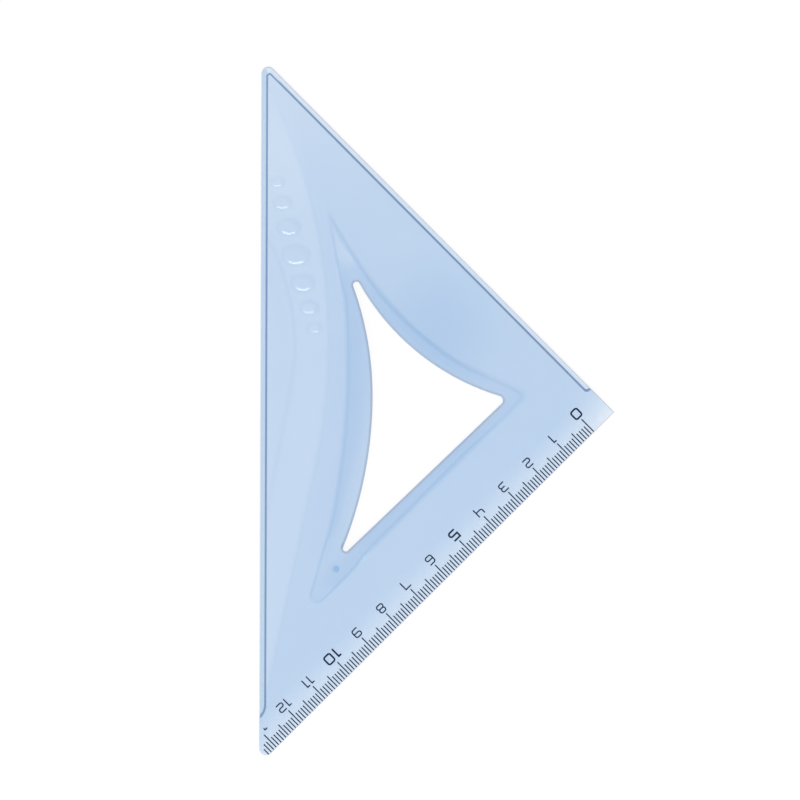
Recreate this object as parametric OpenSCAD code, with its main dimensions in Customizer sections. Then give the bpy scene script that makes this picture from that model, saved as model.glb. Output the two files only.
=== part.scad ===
// Flexible set square: one thin moulded triangle with two 45 degree tips and a printed centimetre scale.
// The plate lies on z = 0 with its printed face up.
// X runs from the long side to the right angle, and Y runs along the long side.

/* [Plate] */
// Overall length of the long side, over both rounded tips
long_side = 200; // [185:1:260]
// Radius of the two rounded tips
tip_radius = 2; // [1:0.1:3]
// Thickness of the plate
plate_thickness = 2; // [1.6:0.1:3]

/* [Ledges] */
// Width of the thin ledge along the long side and the plain short side
ledge_width = 1.6; // [1:0.1:2.4]
// Thickness of the ledge
ledge_thickness = 1; // [0.6:0.1:1.3]
// Radius of the step where the two ledges meet
ledge_corner_radius = 0.9; // [0.4:0.1:2]
// Flat strip between the end of each ledge and the slope of the scale
ledge_end_gap = 0.2; // [0.1:0.1:3]

/* [Scale edge] */
// Thickness of the edge that carries the scale
scale_edge_thickness = 0.8; // [0.5:0.1:1.4]
// Bare slope behind the numerals
slope_margin = 0.5; // [0.2:0.1:4]

/* [Scale lines] */
// Distance along the scale edge from the right angle to the zero line
scale_start = 8.2; // [5:0.1:15]
// Distance from one millimetre line to the next
line_pitch = 1; // [0.9:0.05:1.5]
// Width of a scale line
line_width = 0.35; // [0.2:0.05:0.5]
// Gap between the scale edge and the outer end of each line
line_gap = 0.2; // [0.1:0.05:0.5]
// Depth from the scale edge to the inner end of a millimetre line
millimetre_depth = 3.3; // [2.4:0.1:3.8]
// Depth from the scale edge to the inner end of a half centimetre line
half_centimetre_depth = 4.4; // [3.8:0.1:5]
// Depth from the scale edge to the inner end of a centimetre line
centimetre_depth = 5.3; // [4.8:0.1:7]
// Clear strip between the print and the long side
print_margin = 1.2; // [0.5:0.1:3]
// Thickness of the printed ink
ink_thickness = 0.05; // [0.03:0.01:0.1]

/* [Numerals] */
// Gap between a centimetre line and its numeral
numeral_gap = 0.6; // [0.3:0.1:1.5]
// Height of a numeral
numeral_height = 2.85; // [2:0.05:3.5]
// Width of a digit other than 1
digit_width = 2.45; // [1.8:0.05:3]
// Width of the digit 1
one_width = 1.1; // [0.8:0.05:1.6]
// Gap between two digits
digit_gap = 0.7; // [0.4:0.05:1.2]
// Stroke of a numeral
numeral_stroke = 0.38; // [0.25:0.01:0.5]
// Height of the bold numerals at each fifth centimetre
bold_height = 3.2; // [2.4:0.05:4]
// Width of a bold digit other than 1
bold_digit_width = 2.85; // [2:0.05:3.5]
// Width of the bold digit 1
bold_one_width = 1.25; // [0.9:0.05:1.8]
// Gap between two bold digits
bold_digit_gap = 0.9; // [0.5:0.05:1.4]
// Stroke of a bold numeral
bold_stroke = 0.52; // [0.3:0.01:0.6]
// Radius of a digit's round corners, along the middle of its stroke
digit_corner = 0.58; // [0.4:0.02:0.6]

/* [Cut-out] */
// Distance from the long side to the crest of the cut-out's left side
cutout_left_gap = 32.6; // [30:0.1:38]
// Height of that crest above the plate's middle
cutout_left_crest = 4.2; // [0:0.1:8]
// Radius of the left side above its crest
cutout_left_top_radius = 93; // [80:1:110]
// Radius of the left side below its crest
cutout_left_low_radius = 118; // [100:1:150]
// Distance from the plain short side to the crest of the cut-out's upper side
cutout_upper_gap = 28.7; // [26:0.1:34]
// Distance along the plain short side from the right angle to that crest
cutout_upper_crest = 60; // [54:0.5:68]
// Radius of the upper side
cutout_upper_radius = 70; // [60:0.5:90]
// Distance from the middle of the scale edge to the straight lower side
cutout_lower_gap = 25.8; // [22:0.1:32]
// Angle between the lower side and the scale edge
cutout_lower_tilt = 1.1; // [-3:0.1:3]
// Radius of the top tip
cutout_top_radius = 1; // [0.8:0.05:2]
// Radius of the tip near the right angle
cutout_right_radius = 1.35; // [0.8:0.05:2.5]
// Radius of the low tip
cutout_low_radius = 0.85; // [0.6:0.05:2]

/* [Rim round the cut-out] */
// Angle of the slope from the plate's face up to the crest
rim_angle = 18; // [12:1:30]
// Height of the left crest above the plate's face
rim_left_height = 0.55; // [0.5:0.01:0.8]
// Distance from the cut-out's left side out to the foot of the rim
rim_left_width = 8.4; // [7:0.1:10]
// Height of the left foot's crest above the plate's middle
rim_left_crest = 15; // [8:0.5:20]
// Radius of the left foot
rim_left_radius = 227; // [190:1:260]
// Distance over which the left crest falls back to the plate's face
rim_left_fall = 8; // [5:0.5:12]
// Height of the upper crest above the plate's face
rim_upper_height = 0.48; // [0.44:0.01:0.7]
// Distance from the cut-out's upper side out to the foot of the rim
rim_upper_width = 5.8; // [5:0.1:7]
// Distance along the plain short side from the right angle to the crest of the upper foot
rim_upper_crest = 64.8; // [60:0.2:70]
// Radius of the upper foot
rim_upper_radius = 112.5; // [95:0.5:130]
// Distance over which the upper crest falls back to the plate's face
rim_upper_fall = 2.2; // [1.5:0.1:5]
// Height of the lower crest above the plate's face
rim_lower_height = 0.42; // [0.2:0.01:0.6]
// Distance from the cut-out's lower side out to the foot of the rim, opposite the middle of the scale edge
rim_lower_width = 5.2; // [4:0.1:7]
// Angle between the lower foot and the scale edge
rim_lower_tilt = -0.2; // [-2:0.1:1]
// Distance over which the lower crest falls back to the plate's face
rim_lower_fall = 5; // [3:0.5:8]
// Distance from the middle of the cut-out's low tip to the rim's blunt end
rim_low_reach = 17; // [13:0.5:20]

/* [Grip band] */
// Depth of the grip band below the plate's face
grip_depth = 0.3; // [0.1:0.05:0.6]
// Height of the crest of both edges of the band above the plate's middle
grip_crest = 19; // [10:1:28]
// Distance from the long side to the crest of the band's outer edge
grip_outer_gap = 19.9; // [16:0.1:22]
// Radius of the outer edge
grip_outer_radius = 150; // [130:5:180]
// Lean of the outer edge's straight lower run from the long side
grip_outer_lean = 12; // [9:0.5:15]
// Distance from the long side to the crest of the band's inner edge
grip_inner_gap = 10.7; // [8:0.1:13]
// Radius of the inner edge
grip_inner_radius = 65; // [50:1:90]
// Lean of the inner edge's straight lower run from the long side
grip_inner_lean = 10.6; // [8:0.2:14]

/* [Grip nubs] */
// Number of oval nubs on the band
nub_count = 7; // [3:2:9]
// Height of a nub
nub_height = 0.35; // [0.2:0.05:0.6]
// Distance from the long side to the middle of the largest nub
nub_row_gap = 10.2; // [8:0.1:12]
// Height of the largest nub's middle above the plate's middle
nub_row_crest = 45.3; // [40:0.1:50]
// Lean of the row of nubs from the long side
nub_row_lean = 14.4; // [10:0.2:18]
// Distance between the largest nub and the next one
nub_pitch = 8.4; // [7.4:0.1:9.5]
// Loss of that distance from each nub to the next
nub_pitch_step = 1.1; // [0.5:0.1:1.4]
// Length of the largest nub, across the row
nub_length = 7.8; // [7:0.1:9]
// Loss of length from each nub to the next
nub_length_step = 1.45; // [1:0.05:1.6]
// Breadth of the largest nub, along the row
nub_breadth = 5.8; // [5.2:0.1:6.4]
// Loss of breadth from each nub to the next
nub_breadth_step = 1.18; // [0.8:0.02:1.25]

/* [Gate mark] */
// Diameter of the small round mark left by the mould's gate
gate_diameter = 1.5; // [1:0.1:2]
// Height of the mark above the plate's face
gate_height = 0.45; // [0.35:0.05:0.6]
// Distance from the middle of the cut-out's low tip to the mark
gate_distance = 6.9; // [5:0.1:8]

/* [Hidden] */
plate_colour = [0.74, 0.83, 0.93];
ink_colour = [0.12, 0.19, 0.31];

// Facets of the large and of the small round shapes
large_round = 360;
small_round = 96;
// Steps along each round corner of a digit
corner_steps = 6;
// Length by which cutting shapes run past what they cut
overrun = 2;
// Lap of a round over the straight side that it runs into
lap = 0.01;

// The triangle before its tips are rounded, with its right angle at [corner_x, 0]
tip_angle = 45;
altitude = long_side / 2 + tip_radius * (1 / tan(tip_angle / 2) - 1) - lap;
leg = altitude * sqrt(2);
corner_x = (altitude + lap) / 2;
long_x = corner_x - altitude;

// The slope that carries the scale
numeral_top = centimetre_depth + numeral_gap;
slope_width = numeral_top + max(numeral_height, bold_height) + slope_margin;
slope_angle = atan((plate_thickness - scale_edge_thickness) / slope_width);

// How far the scale runs before the long side cuts it off
print_end = leg - print_margin * sqrt(2);
shortest_line = 2;
last_line = floor((print_end - scale_start - shortest_line) / line_pitch);

// The digits of a centimetre's numeral, and the distance along the scale edge to the start of each
numeral_pitch = 10 * line_pitch;
function is_bold(n) = n % 5 == 0;
function digits_of(n) = n < 10 ? [n] : [floor(n / 10), n % 10];
function width_of(n, digit) =
    digit == 1 ? (is_bold(n) ? bold_one_width : one_width) : (is_bold(n) ? bold_digit_width : digit_width);
function step_after_first(n) =
    len(digits_of(n)) == 1 ? 0 : width_of(n, digits_of(n)[0]) + (is_bold(n) ? bold_digit_gap : digit_gap);
function numeral_width(n) = step_after_first(n) + width_of(n, digits_of(n)[len(digits_of(n)) - 1]);
function digit_start(n, i) = scale_start + n * numeral_pitch - numeral_width(n) / 2 + i * step_after_first(n);

// Each printed digit as its numeral and its place in it: whole ones, and those that the long side cuts off
function height_of(n) = is_bold(n) ? bold_height : numeral_height;
function is_whole(n, i) =
    digit_start(n, i) + width_of(n, digits_of(n)[i]) <= print_end - numeral_top - height_of(n);
shortest_remnant = 0.8;
printed_digits = [
    for (n = [0:floor(leg / numeral_pitch)], i = [0:len(digits_of(n)) - 1])
        if (digit_start(n, i) + shortest_remnant < print_end - numeral_top) [n, i]
];
whole_digits = [for (p = printed_digits) if (is_whole(p[0], p[1])) p];
cut_digits = [for (p = printed_digits) if (!is_whole(p[0], p[1])) p];
function digit_node(n, i) = str("numeral_", n, len(digits_of(n)) == 1 ? "" : i == 0 ? "_tens" : "_units");

function unit(v) = v / norm(v);

// Places measured along a short side from the right angle, and inward from that side
function by_scale_edge(along, depth) =
    [corner_x - (along + depth) * sqrt(0.5), (depth - along) * sqrt(0.5)];
function by_plain_edge(along, depth) =
    [corner_x - (along + depth) * sqrt(0.5), (along - depth) * sqrt(0.5)];

// Inward direction from a straight side that leans by tilt from the scale edge
function inward(tilt) = [cos(135 - tilt), sin(135 - tilt)];

// The lower of the two points that lie r1 from c1 and r2 from c2
function meet_of_circles(c1, r1, c2, r2) =
    let (d = norm(c2 - c1), u = (c2 - c1) / d, a = (d * d + r1 * r1 - r2 * r2) / (2 * d))
    c1 + a * u - sqrt(max(0, r1 * r1 - a * a)) * [-u.y, u.x];

// A point at distance radius from center on the line through p square to n; way picks one of the two
function meet_of_line(center, radius, p, n, way) =
    let (t = [n.y, -n.x], rise = (center - p) * n, run = (center - p) * t)
    p + t * (run + way * sqrt(radius * radius - rise * rise));

// The cut-out's left side is two arcs that share a crest, its upper side is one arc
left_top_center = [long_x + cutout_left_gap - cutout_left_top_radius, cutout_left_crest];
left_low_center = [long_x + cutout_left_gap - cutout_left_low_radius, cutout_left_crest];
upper_center = by_plain_edge(cutout_upper_crest, cutout_upper_gap - cutout_upper_radius);
lower_middle = by_scale_edge(leg / 2, cutout_lower_gap);
lower_inward = inward(cutout_lower_tilt);

// The top tip is at least wide enough to close the neck between the left and upper arcs
neck = norm(upper_center - left_top_center) - cutout_left_top_radius - cutout_upper_radius;
top_radius = max(cutout_top_radius, neck / 2);
top_tip = meet_of_circles(left_top_center, cutout_left_top_radius + top_radius,
                          upper_center, cutout_upper_radius + top_radius);
right_tip = meet_of_line(upper_center, cutout_upper_radius + cutout_right_radius,
                         lower_middle + cutout_right_radius * lower_inward, lower_inward, -1);
low_tip = meet_of_line(left_low_center, cutout_left_low_radius + cutout_low_radius,
                       lower_middle + cutout_low_radius * lower_inward, lower_inward, 1);

// The rim's foot, where it rises from the plate's face
rim_left_center = [long_x + cutout_left_gap - rim_left_width - rim_left_radius, rim_left_crest];
rim_upper_center = by_plain_edge(rim_upper_crest, cutout_upper_gap - rim_upper_width - rim_upper_radius);
rim_lower_middle = by_scale_edge(leg / 2, cutout_lower_gap - rim_lower_width);
rim_lower_inward = inward(rim_lower_tilt);
rim_top_tip = rim_left_center + rim_left_radius * unit(rim_upper_center - rim_left_center);
rim_right_tip = meet_of_line(rim_upper_center, rim_upper_radius, rim_lower_middle, rim_lower_inward, -1);
rim_low_tip = meet_of_line(rim_left_center, rim_left_radius, rim_lower_middle, rim_lower_inward, 1);
rim_low_heading = unit(rim_low_tip - low_tip);
rim_middle = (rim_top_tip + rim_right_tip + rim_low_tip) / 3;
rim_slope = tan(rim_angle);
tallest_crest = max(rim_left_height, rim_upper_height, rim_lower_height);
// The blunt low end of the rim is this many times as steep as its sides
rim_end_steepness = 1.5;
// Height at which the rim is rooted in the plate
rim_root = plate_thickness / 2;

grip_floor = plate_thickness - grip_depth;

// Centre of a round that fits the upper tip of the triangle drawn in by inset
function tip_center(inset, radius) =
    [long_x + inset + radius, altitude - (inset + radius) * (1 + sqrt(2))];

// Puts children along the scale edge: x from the right angle, y outward, so that numerals read upright
module along_scale() {
    translate([corner_x, 0, 0])
        rotate(225)
            children();
}

// Puts children on the sloping face beside the scale edge
module on_slope() {
    along_scale()
        translate([0, 0, scale_edge_thickness])
            rotate([-slope_angle, 0, 0])
                children();
}

// The triangle with its two rounded tips
module plate_outline() {
    c = tip_center(0, tip_radius);
    d = tip_radius * sqrt(0.5);
    polygon([[corner_x, 0], [c.x + d, c.y + d], [long_x, c.y], [long_x, -c.y], [c.x + d, -c.y - d]]);
    for (side = [-1, 1])
        translate([c.x, side * c.y])
            circle(tip_radius + lap, $fn = small_round);
}

// The area of the two ledges, carried past the plate's outline
module ledge_area() {
    c = tip_center(ledge_width, ledge_corner_radius);
    d = ledge_corner_radius * sqrt(0.5);
    step_x = long_x + ledge_width;
    difference() {
        along_scale()
            translate([-overrun, -leg - overrun])
                square([leg + 2 * overrun, leg + overrun - slope_width - ledge_end_gap]);
        polygon([[c.x + d, c.y + d], [step_x, c.y], [step_x, -leg], [c.x + c.y + 2 * d + leg, -leg]]);
        translate(c)
            circle(ledge_corner_radius + lap, $fn = small_round);
    }
}

// What the slope beside the scale edge takes off the plate
module slope_cut() {
    on_slope()
        translate([-overrun, -slope_width - overrun, 0])
            cube([leg + 2 * overrun, slope_width + 2 * overrun, plate_thickness]);
}

// The finger cut-out: two bulging sides, one straight side and three round tips
module cutout_outline() {
    difference() {
        polygon([
            top_tip + top_radius * unit(upper_center - top_tip),
            right_tip + cutout_right_radius * unit(upper_center - right_tip),
            right_tip - cutout_right_radius * lower_inward,
            low_tip - cutout_low_radius * lower_inward,
            low_tip + cutout_low_radius * unit(left_low_center - low_tip),
            top_tip + top_radius * unit(left_top_center - top_tip)
        ]);
        translate(left_top_center)
            circle(cutout_left_top_radius, $fn = large_round);
        intersection() {
            translate(left_low_center)
                circle(cutout_left_low_radius, $fn = large_round);
            translate([long_x, cutout_left_crest - altitude])
                square(altitude);
        }
        translate(upper_center)
            circle(cutout_upper_radius, $fn = large_round);
    }
    for (tip = [[top_tip, top_radius], [right_tip, cutout_right_radius], [low_tip, cutout_low_radius]])
        translate(tip[0])
            circle(tip[1] + lap, $fn = small_round);
}

// Everything under the rim's outer slope along a bulging side
module rim_under_arc(center, radius) {
    reach = 3 * tallest_crest / rim_slope;
    translate(center)
        rotate_extrude($fn = large_round)
            polygon([
                [radius - overrun, 0],
                [radius - overrun, plate_thickness - overrun * rim_slope],
                [radius + reach, plate_thickness + reach * rim_slope],
                [radius + altitude, plate_thickness + reach * rim_slope],
                [radius + altitude, 0]
            ]);
}

// Everything under a plane that passes through place at a height and climbs along the direction heading
module under_plane(place, height, heading, climb) {
    translate([place.x, place.y, height])
        rotate([0, 0, atan2(heading.y, heading.x) - 90])
            rotate([atan(climb), 0, 0])
                translate([-leg, -overrun, -leg])
                    cube([2 * leg, 2 * leg, leg]);
}

// Everything under the rim's inner slope along a bulging side
module rim_fall_arc(center, radius, height, fall) {
    rise = height / rim_slope;
    drop = height / fall;
    translate(center)
        rotate_extrude($fn = large_round)
            polygon([
                [radius - overrun, 0],
                [radius - overrun, plate_thickness + height + (rise + overrun) * drop],
                [radius + rise + (plate_thickness + height) / drop, 0]
            ]);
}

// The raised rim: a crest that falls toward the cut-out and fades where its sides draw together
module rim() {
    lower_crest = rim_lower_middle + rim_lower_height / rim_slope * rim_lower_inward;
    intersection() {
        translate([0, 0, rim_root])
            linear_extrude(plate_thickness + 2 * tallest_crest - rim_root)
                polygon([for (tip = [rim_top_tip, rim_right_tip, rim_low_tip])
                    tip + overrun * unit(tip - rim_middle)]);
        union() {
            rim_fall_arc(rim_left_center, rim_left_radius, rim_left_height, rim_left_fall);
            rim_fall_arc(rim_upper_center, rim_upper_radius, rim_upper_height, rim_upper_fall);
            under_plane(lower_crest, plate_thickness + rim_lower_height,
                        rim_lower_inward, -rim_lower_height / rim_lower_fall);
        }
        rim_under_arc(rim_left_center, rim_left_radius);
        rim_under_arc(rim_upper_center, rim_upper_radius);
        under_plane(rim_lower_middle, plate_thickness, rim_lower_inward, rim_slope);
        under_plane(low_tip + rim_low_reach * rim_low_heading, plate_thickness,
                    -rim_low_heading, rim_end_steepness * rim_slope);
    }
}

// The area between the long side and one edge of the grip band
module grip_side(gap, radius, lean) {
    center = [long_x + gap - radius, grip_crest];
    bend = center + radius * [cos(lean), -sin(lean)];
    foot_y = -altitude;
    translate(center)
        circle(radius + lap, $fn = large_round);
    polygon([
        bend,
        [bend.x - (bend.y - foot_y) * tan(lean), foot_y],
        [long_x - 2 * altitude, foot_y],
        [long_x - overrun, grip_crest]
    ]);
}

// The shallow band that the fingers find
module grip_band() {
    translate([0, 0, grip_floor])
        linear_extrude(grip_depth + overrun)
            difference() {
                grip_side(grip_outer_gap, grip_outer_radius, grip_outer_lean);
                grip_side(grip_inner_gap, grip_inner_radius, grip_inner_lean);
            }
}

// Radius of the arc that spans a nub and rises to its height
function nub_arc(span) = (span * span / 4 + nub_height * nub_height) / (2 * nub_height);

// One oval nub with a round crown, its foot at z = 0
module nub(length, breadth) {
    length_arc = nub_arc(length);
    breadth_arc = nub_arc(breadth);
    intersection() {
        translate([0, 0, nub_height - breadth_arc])
            rotate([0, 90, 0])
                rotate_extrude($fn = small_round)
                    intersection() {
                        translate([breadth_arc - length_arc, 0])
                            circle(length_arc, $fn = large_round);
                        translate([0, -length_arc])
                            square([2 * length_arc, 2 * length_arc]);
                    }
        translate([-length, -breadth, -grip_depth])
            cube([2 * length, 2 * breadth, grip_depth + 2 * nub_height]);
    }
}

// The row of nubs on the band, which shrink from the middle to both ends
module nub_row() {
    last = (nub_count - 1) / 2;
    for (i = [-last:last]) {
        k = abs(i);
        run = sign(i) * (k * nub_pitch - nub_pitch_step * k * (k - 1) / 2);
        translate([
            long_x + nub_row_gap - run * sin(nub_row_lean),
            nub_row_crest + run * cos(nub_row_lean),
            grip_floor
        ])
            nub(nub_length - k * nub_length_step, nub_breadth - k * nub_breadth_step);
    }
}

// The mark of the mould's gate, on the rim past the cut-out's low tip
module gate_mark() {
    place = low_tip + gate_distance * rim_low_heading;
    translate([place.x, place.y, rim_root])
        cylinder(d = gate_diameter, h = plate_thickness + gate_height - rim_root, $fn = small_round);
}

module triangle_plate() {
    color(plate_colour) {
        difference() {
            union() {
                linear_extrude(plate_thickness)
                    plate_outline();
                rim();
                gate_mark();
            }
            translate([0, 0, ledge_thickness])
                linear_extrude(plate_thickness)
                    ledge_area();
            slope_cut();
            grip_band();
            translate([0, 0, -overrun])
                linear_extrude(plate_thickness + 3 * overrun)
                    cutout_outline();
        }
        nub_row();
    }
}

// One scale line, cut short where it would run into the long side
module scale_line(millimetres, depth) {
    along = scale_start + millimetres * line_pitch;
    end = min(depth, print_end - along - line_width / 2);
    on_slope()
        translate([along - line_width / 2, -end, 0])
            cube([line_width, end - line_gap, ink_thickness]);
}

module millimetre_lines() {
    color(ink_colour)
        for (mm = [0:last_line])
            if (mm % 5 != 0)
                scale_line(mm, millimetre_depth);
}

module half_centimetre_lines() {
    color(ink_colour)
        for (mm = [5:10:last_line])
            scale_line(mm, half_centimetre_depth);
}

module centimetre_lines() {
    color(ink_colour)
        for (mm = [0:10:last_line])
            scale_line(mm, centimetre_depth);
}

// Points round the corner at b, where a path from a turns square to c
function corner_points(a, b, c, radius) =
    radius == 0 ? [b] :
    let (u = unit(a - b), v = unit(c - b), center = b + radius * (u + v))
    [for (i = [0:corner_steps])
        let (turn = 90 * i / corner_steps)
        center - radius * (v * cos(turn) + u * sin(turn))];

// A path with its inner corners rounded
function round_path(path, radius) = concat(
    [path[0]],
    [for (i = [1:len(path) - 2]) each corner_points(path[i - 1], path[i], path[i + 1], radius)],
    [path[len(path) - 1]]
);

// The point beside point i of a path, at the given distance to its left
function beside(path, i, distance) =
    let (
        before = unit(path[max(i, 1)] - path[max(i, 1) - 1]),
        after = unit(path[min(i + 1, len(path) - 1)] - path[min(i, len(path) - 2)]),
        lead = unit(before + after)
    )
    path[i] + distance / (lead * before) * [-lead.y, lead.x];

// A pen stroke of even weight along a path
module pen(path, weight, radius = 0) {
    line = round_path(path, radius);
    last = len(line) - 1;
    polygon(concat(
        [for (i = [0:last]) beside(line, i, weight / 2)],
        [for (i = [last:-1:0]) beside(line, i, -weight / 2)]
    ));
}

// A box with round corners, from the middle of its foot
module round_box(width, foot, top, radius) {
    corners = [[width / 2, foot], [width / 2, top], [-width / 2, top], [-width / 2, foot]];
    polygon([for (i = [0:3])
        each corner_points(corners[(i + 3) % 4], corners[i], corners[(i + 1) % 4], radius)]);
}

// A pen stroke of even weight round a box
module pen_box(width, foot, top, weight) {
    difference() {
        round_box(width + weight, foot - weight / 2, top + weight / 2, digit_corner + weight / 2);
        round_box(width - weight, foot + weight / 2, top - weight / 2, digit_corner - weight / 2);
    }
}

// One digit on y = 0, middle at x = 0, drawn along the middle of its stroke in squared technical forms
module digit(value, height, width, weight) {
    top = height - weight;
    right = (width - weight) / 2;
    left = -right;
    middle = top / 2;
    low_bar = 0.44 * top;
    upper_loop_share = 0.88;
    translate([0, weight / 2]) {
        if (value == 0)
            pen_box(2 * right, 0, top, weight);
        if (value == 1)
            pen([[left - weight / 2, top], [right, top], [right, -weight / 2]], weight);
        if (value == 2)
            pen([[left, top], [right, top], [right, middle], [left, middle], [left, 0], [right, 0]],
                weight, digit_corner);
        if (value == 3) {
            pen([[left, top], [right, top], [right, middle], [left / 2, middle]], weight, digit_corner);
            pen([[left / 2, middle], [right, middle], [right, 0], [left, 0]], weight, digit_corner);
        }
        if (value == 4) {
            pen([[left, top + weight / 2], [left, low_bar], [right, low_bar]], weight, digit_corner);
            pen([[right, top + weight / 2], [right, -weight / 2]], weight);
        }
        if (value == 5) {
            pen([[right, top], [left, top], [left, middle], [0, middle]], weight);
            pen([[0, middle], [right, middle], [right, 0], [left, 0]], weight, digit_corner);
        }
        if (value == 6 || value == 9)
            translate([0, middle])
                rotate(value == 9 ? 180 : 0)
                    translate([0, -middle]) {
                        pen([[right, top], [left, top], [left, 0], [0, 0]], weight, digit_corner);
                        pen([[left / 4, 0], [right, 0], [right, middle], [left, middle]],
                            weight, digit_corner);
                    }
        if (value == 7)
            pen([[left, top], [right, top], [right, -weight / 2]], weight);
        if (value == 8) {
            pen_box(2 * right * upper_loop_share, middle, top, weight);
            pen_box(2 * right, 0, middle, weight);
        }
    }
}

// The outline of one printed digit, in its place along the scale edge
module digit_outline(n, i) {
    value = digits_of(n)[i];
    width = width_of(n, value);
    translate([digit_start(n, i) + width / 2, -numeral_top - height_of(n)])
        digit(value, height_of(n), width, is_bold(n) ? bold_stroke : numeral_stroke);
}

module numeral_digit(n, i) {
    color(ink_colour)
        on_slope()
            linear_extrude(ink_thickness)
                digit_outline(n, i);
}

// What is left of the last numeral where the long side cuts the print off
module cut_off_numeral() {
    color(ink_colour)
        on_slope()
            linear_extrude(ink_thickness)
                intersection() {
                    for (p = cut_digits)
                        digit_outline(p[0], p[1]);
                    polygon([[0, 0], [print_end, 0],
                             [print_end - slope_width, -slope_width], [0, -slope_width]]);
                }
}

triangle_plate();
millimetre_lines();
half_centimetre_lines();
centimetre_lines();
for (p = whole_digits)
    numeral_digit(p[0], p[1]);
cut_off_numeral();
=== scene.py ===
import math
import bmesh
import bpy
import numpy as np
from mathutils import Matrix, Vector


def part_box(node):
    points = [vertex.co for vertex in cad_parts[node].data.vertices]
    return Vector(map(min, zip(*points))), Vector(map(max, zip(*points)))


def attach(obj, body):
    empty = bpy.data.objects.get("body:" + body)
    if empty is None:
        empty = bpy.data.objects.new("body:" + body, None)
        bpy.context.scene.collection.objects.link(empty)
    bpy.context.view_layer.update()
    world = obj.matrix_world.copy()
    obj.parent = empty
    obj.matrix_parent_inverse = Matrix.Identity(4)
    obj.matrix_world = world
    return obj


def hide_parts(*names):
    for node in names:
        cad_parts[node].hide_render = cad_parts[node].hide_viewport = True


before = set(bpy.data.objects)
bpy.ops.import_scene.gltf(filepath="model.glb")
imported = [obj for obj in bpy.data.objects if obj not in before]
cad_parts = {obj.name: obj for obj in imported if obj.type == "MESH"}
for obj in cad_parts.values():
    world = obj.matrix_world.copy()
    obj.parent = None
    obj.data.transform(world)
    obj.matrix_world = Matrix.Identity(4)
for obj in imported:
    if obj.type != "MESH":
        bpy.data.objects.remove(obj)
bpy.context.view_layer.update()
scene = bpy.context.scene

# The view: straight down on the printed face, with no perspective.
# The triangle leans a little to the right, and its middle is right of the picture's middle.
MM = 0.001
view_width = 232.33 * MM
view_middle = (-10.84 * MM, 3.33 * MM)
view_turn = math.radians(0.19)
view_height = 0.6

camera_data = bpy.data.cameras.new("straight_down")
camera_data.type = "ORTHO"
camera_data.ortho_scale = view_width
camera = bpy.data.objects.new("straight_down", camera_data)
camera.location = (view_middle[0], view_middle[1], view_height)
camera.rotation_euler = (0.0, 0.0, view_turn)
scene.collection.objects.link(camera)
scene.camera = camera


# The plate: one thin moulded triangle of soft clear blue plastic, flat below and with its relief on top.
# Its mesh is drawn out ring by ring, from the finger cut-out to the outline, at the heights of the relief.
# All sizes of this piece are in millimetres, and X, Y and Z are those of the frame.
plate_low, plate_high = (np.array(corner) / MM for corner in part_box("triangle_plate"))
corner_x = plate_high[0]
long_x = plate_low[0]
root_two = math.sqrt(2.0)

plate_thickness = 2.0
tip_radius = 2.0
right_corner_radius = 0.3
plain_ledge = 1.6
long_ledge = 1.7
ledge_thickness = 1.0
ledge_corner = 0.7
ledge_end_softness = 1.4
step_run = 0.7
scale_edge_thickness = 0.8
slope_width = 9.6
ledge_end_gap = 0.2
ledge_end = slope_width + ledge_end_gap
top_rounding = 0.25
cutout_edge_width = 0.65
edge_rounding = 0.22
under_chamfer = 0.12


def turned(angle):
    """Unit vector at an angle from +X."""
    return np.array([math.cos(angle), math.sin(angle)])


def heading(vector):
    """Angle of a vector from +X."""
    return math.atan2(vector[1], vector[0])


def by_plain_edge(along, depth):
    """Place by its distance from the right angle along the plain edge, and its depth inside that edge."""
    return np.array([corner_x - (along + depth) / root_two, (along - depth) / root_two])


def by_scale_edge(along, depth):
    """Place by its distance from the right angle along the scale edge, and its depth inside that edge."""
    return np.array([corner_x - (along + depth) / root_two, (depth - along) / root_two])


leg = (corner_x - long_x) * root_two

# The sides of the cut-out: two arcs that share a crest on the left, one arc above and a straight line below
left_crest_gap = 32.6
left_crest_y = 4.2
left_crest = np.array([long_x + left_crest_gap, left_crest_y])
left_top_radius = 93.0
left_low_radius = 118.0
left_top_center = left_crest - [left_top_radius, 0.0]
left_low_center = left_crest - [left_low_radius, 0.0]
upper_along = 60.0
upper_depth = 28.7
upper_radius = 70.0
upper_center = by_plain_edge(upper_along, upper_depth - upper_radius)
lower_depth = 25.8
lower_lean = 1.1
scale_inward = 135.0
lower_middle = by_scale_edge(leg / 2, lower_depth)
lower_inward = turned(math.radians(scale_inward - lower_lean))
top_tip_radius = 1.0
right_tip_radius = 1.35
low_tip_radius = 0.85


def meet_of_circles(c1, r1, c2, r2):
    """Crossing of two circles that lies to the right on the way from the first middle to the second."""
    span = np.linalg.norm(c2 - c1)
    along = (c2 - c1) / span
    reach = (span * span + r1 * r1 - r2 * r2) / (2 * span)
    rise = math.sqrt(max(0.0, r1 * r1 - reach * reach))
    return c1 + reach * along - rise * np.array([-along[1], along[0]])


def meet_of_line(center, radius, point, normal, way):
    """Crossing of a circle with a line of a known point and normal, on one way (1 or -1) along it."""
    along = np.array([normal[1], -normal[0]])
    rise = (center - point) @ normal
    run = (center - point) @ along
    return point + along * (run + way * math.sqrt(radius * radius - rise * rise))


neck = np.linalg.norm(upper_center - left_top_center) - left_top_radius - upper_radius
top_tip_radius = max(top_tip_radius, neck / 2)
top_tip = meet_of_circles(left_top_center, left_top_radius + top_tip_radius,
                          upper_center, upper_radius + top_tip_radius)
right_tip = meet_of_line(upper_center, upper_radius + right_tip_radius,
                         lower_middle + right_tip_radius * lower_inward, lower_inward, -1)
low_tip = meet_of_line(left_low_center, left_low_radius + low_tip_radius,
                       lower_middle + low_tip_radius * lower_inward, lower_inward, 1)


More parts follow.
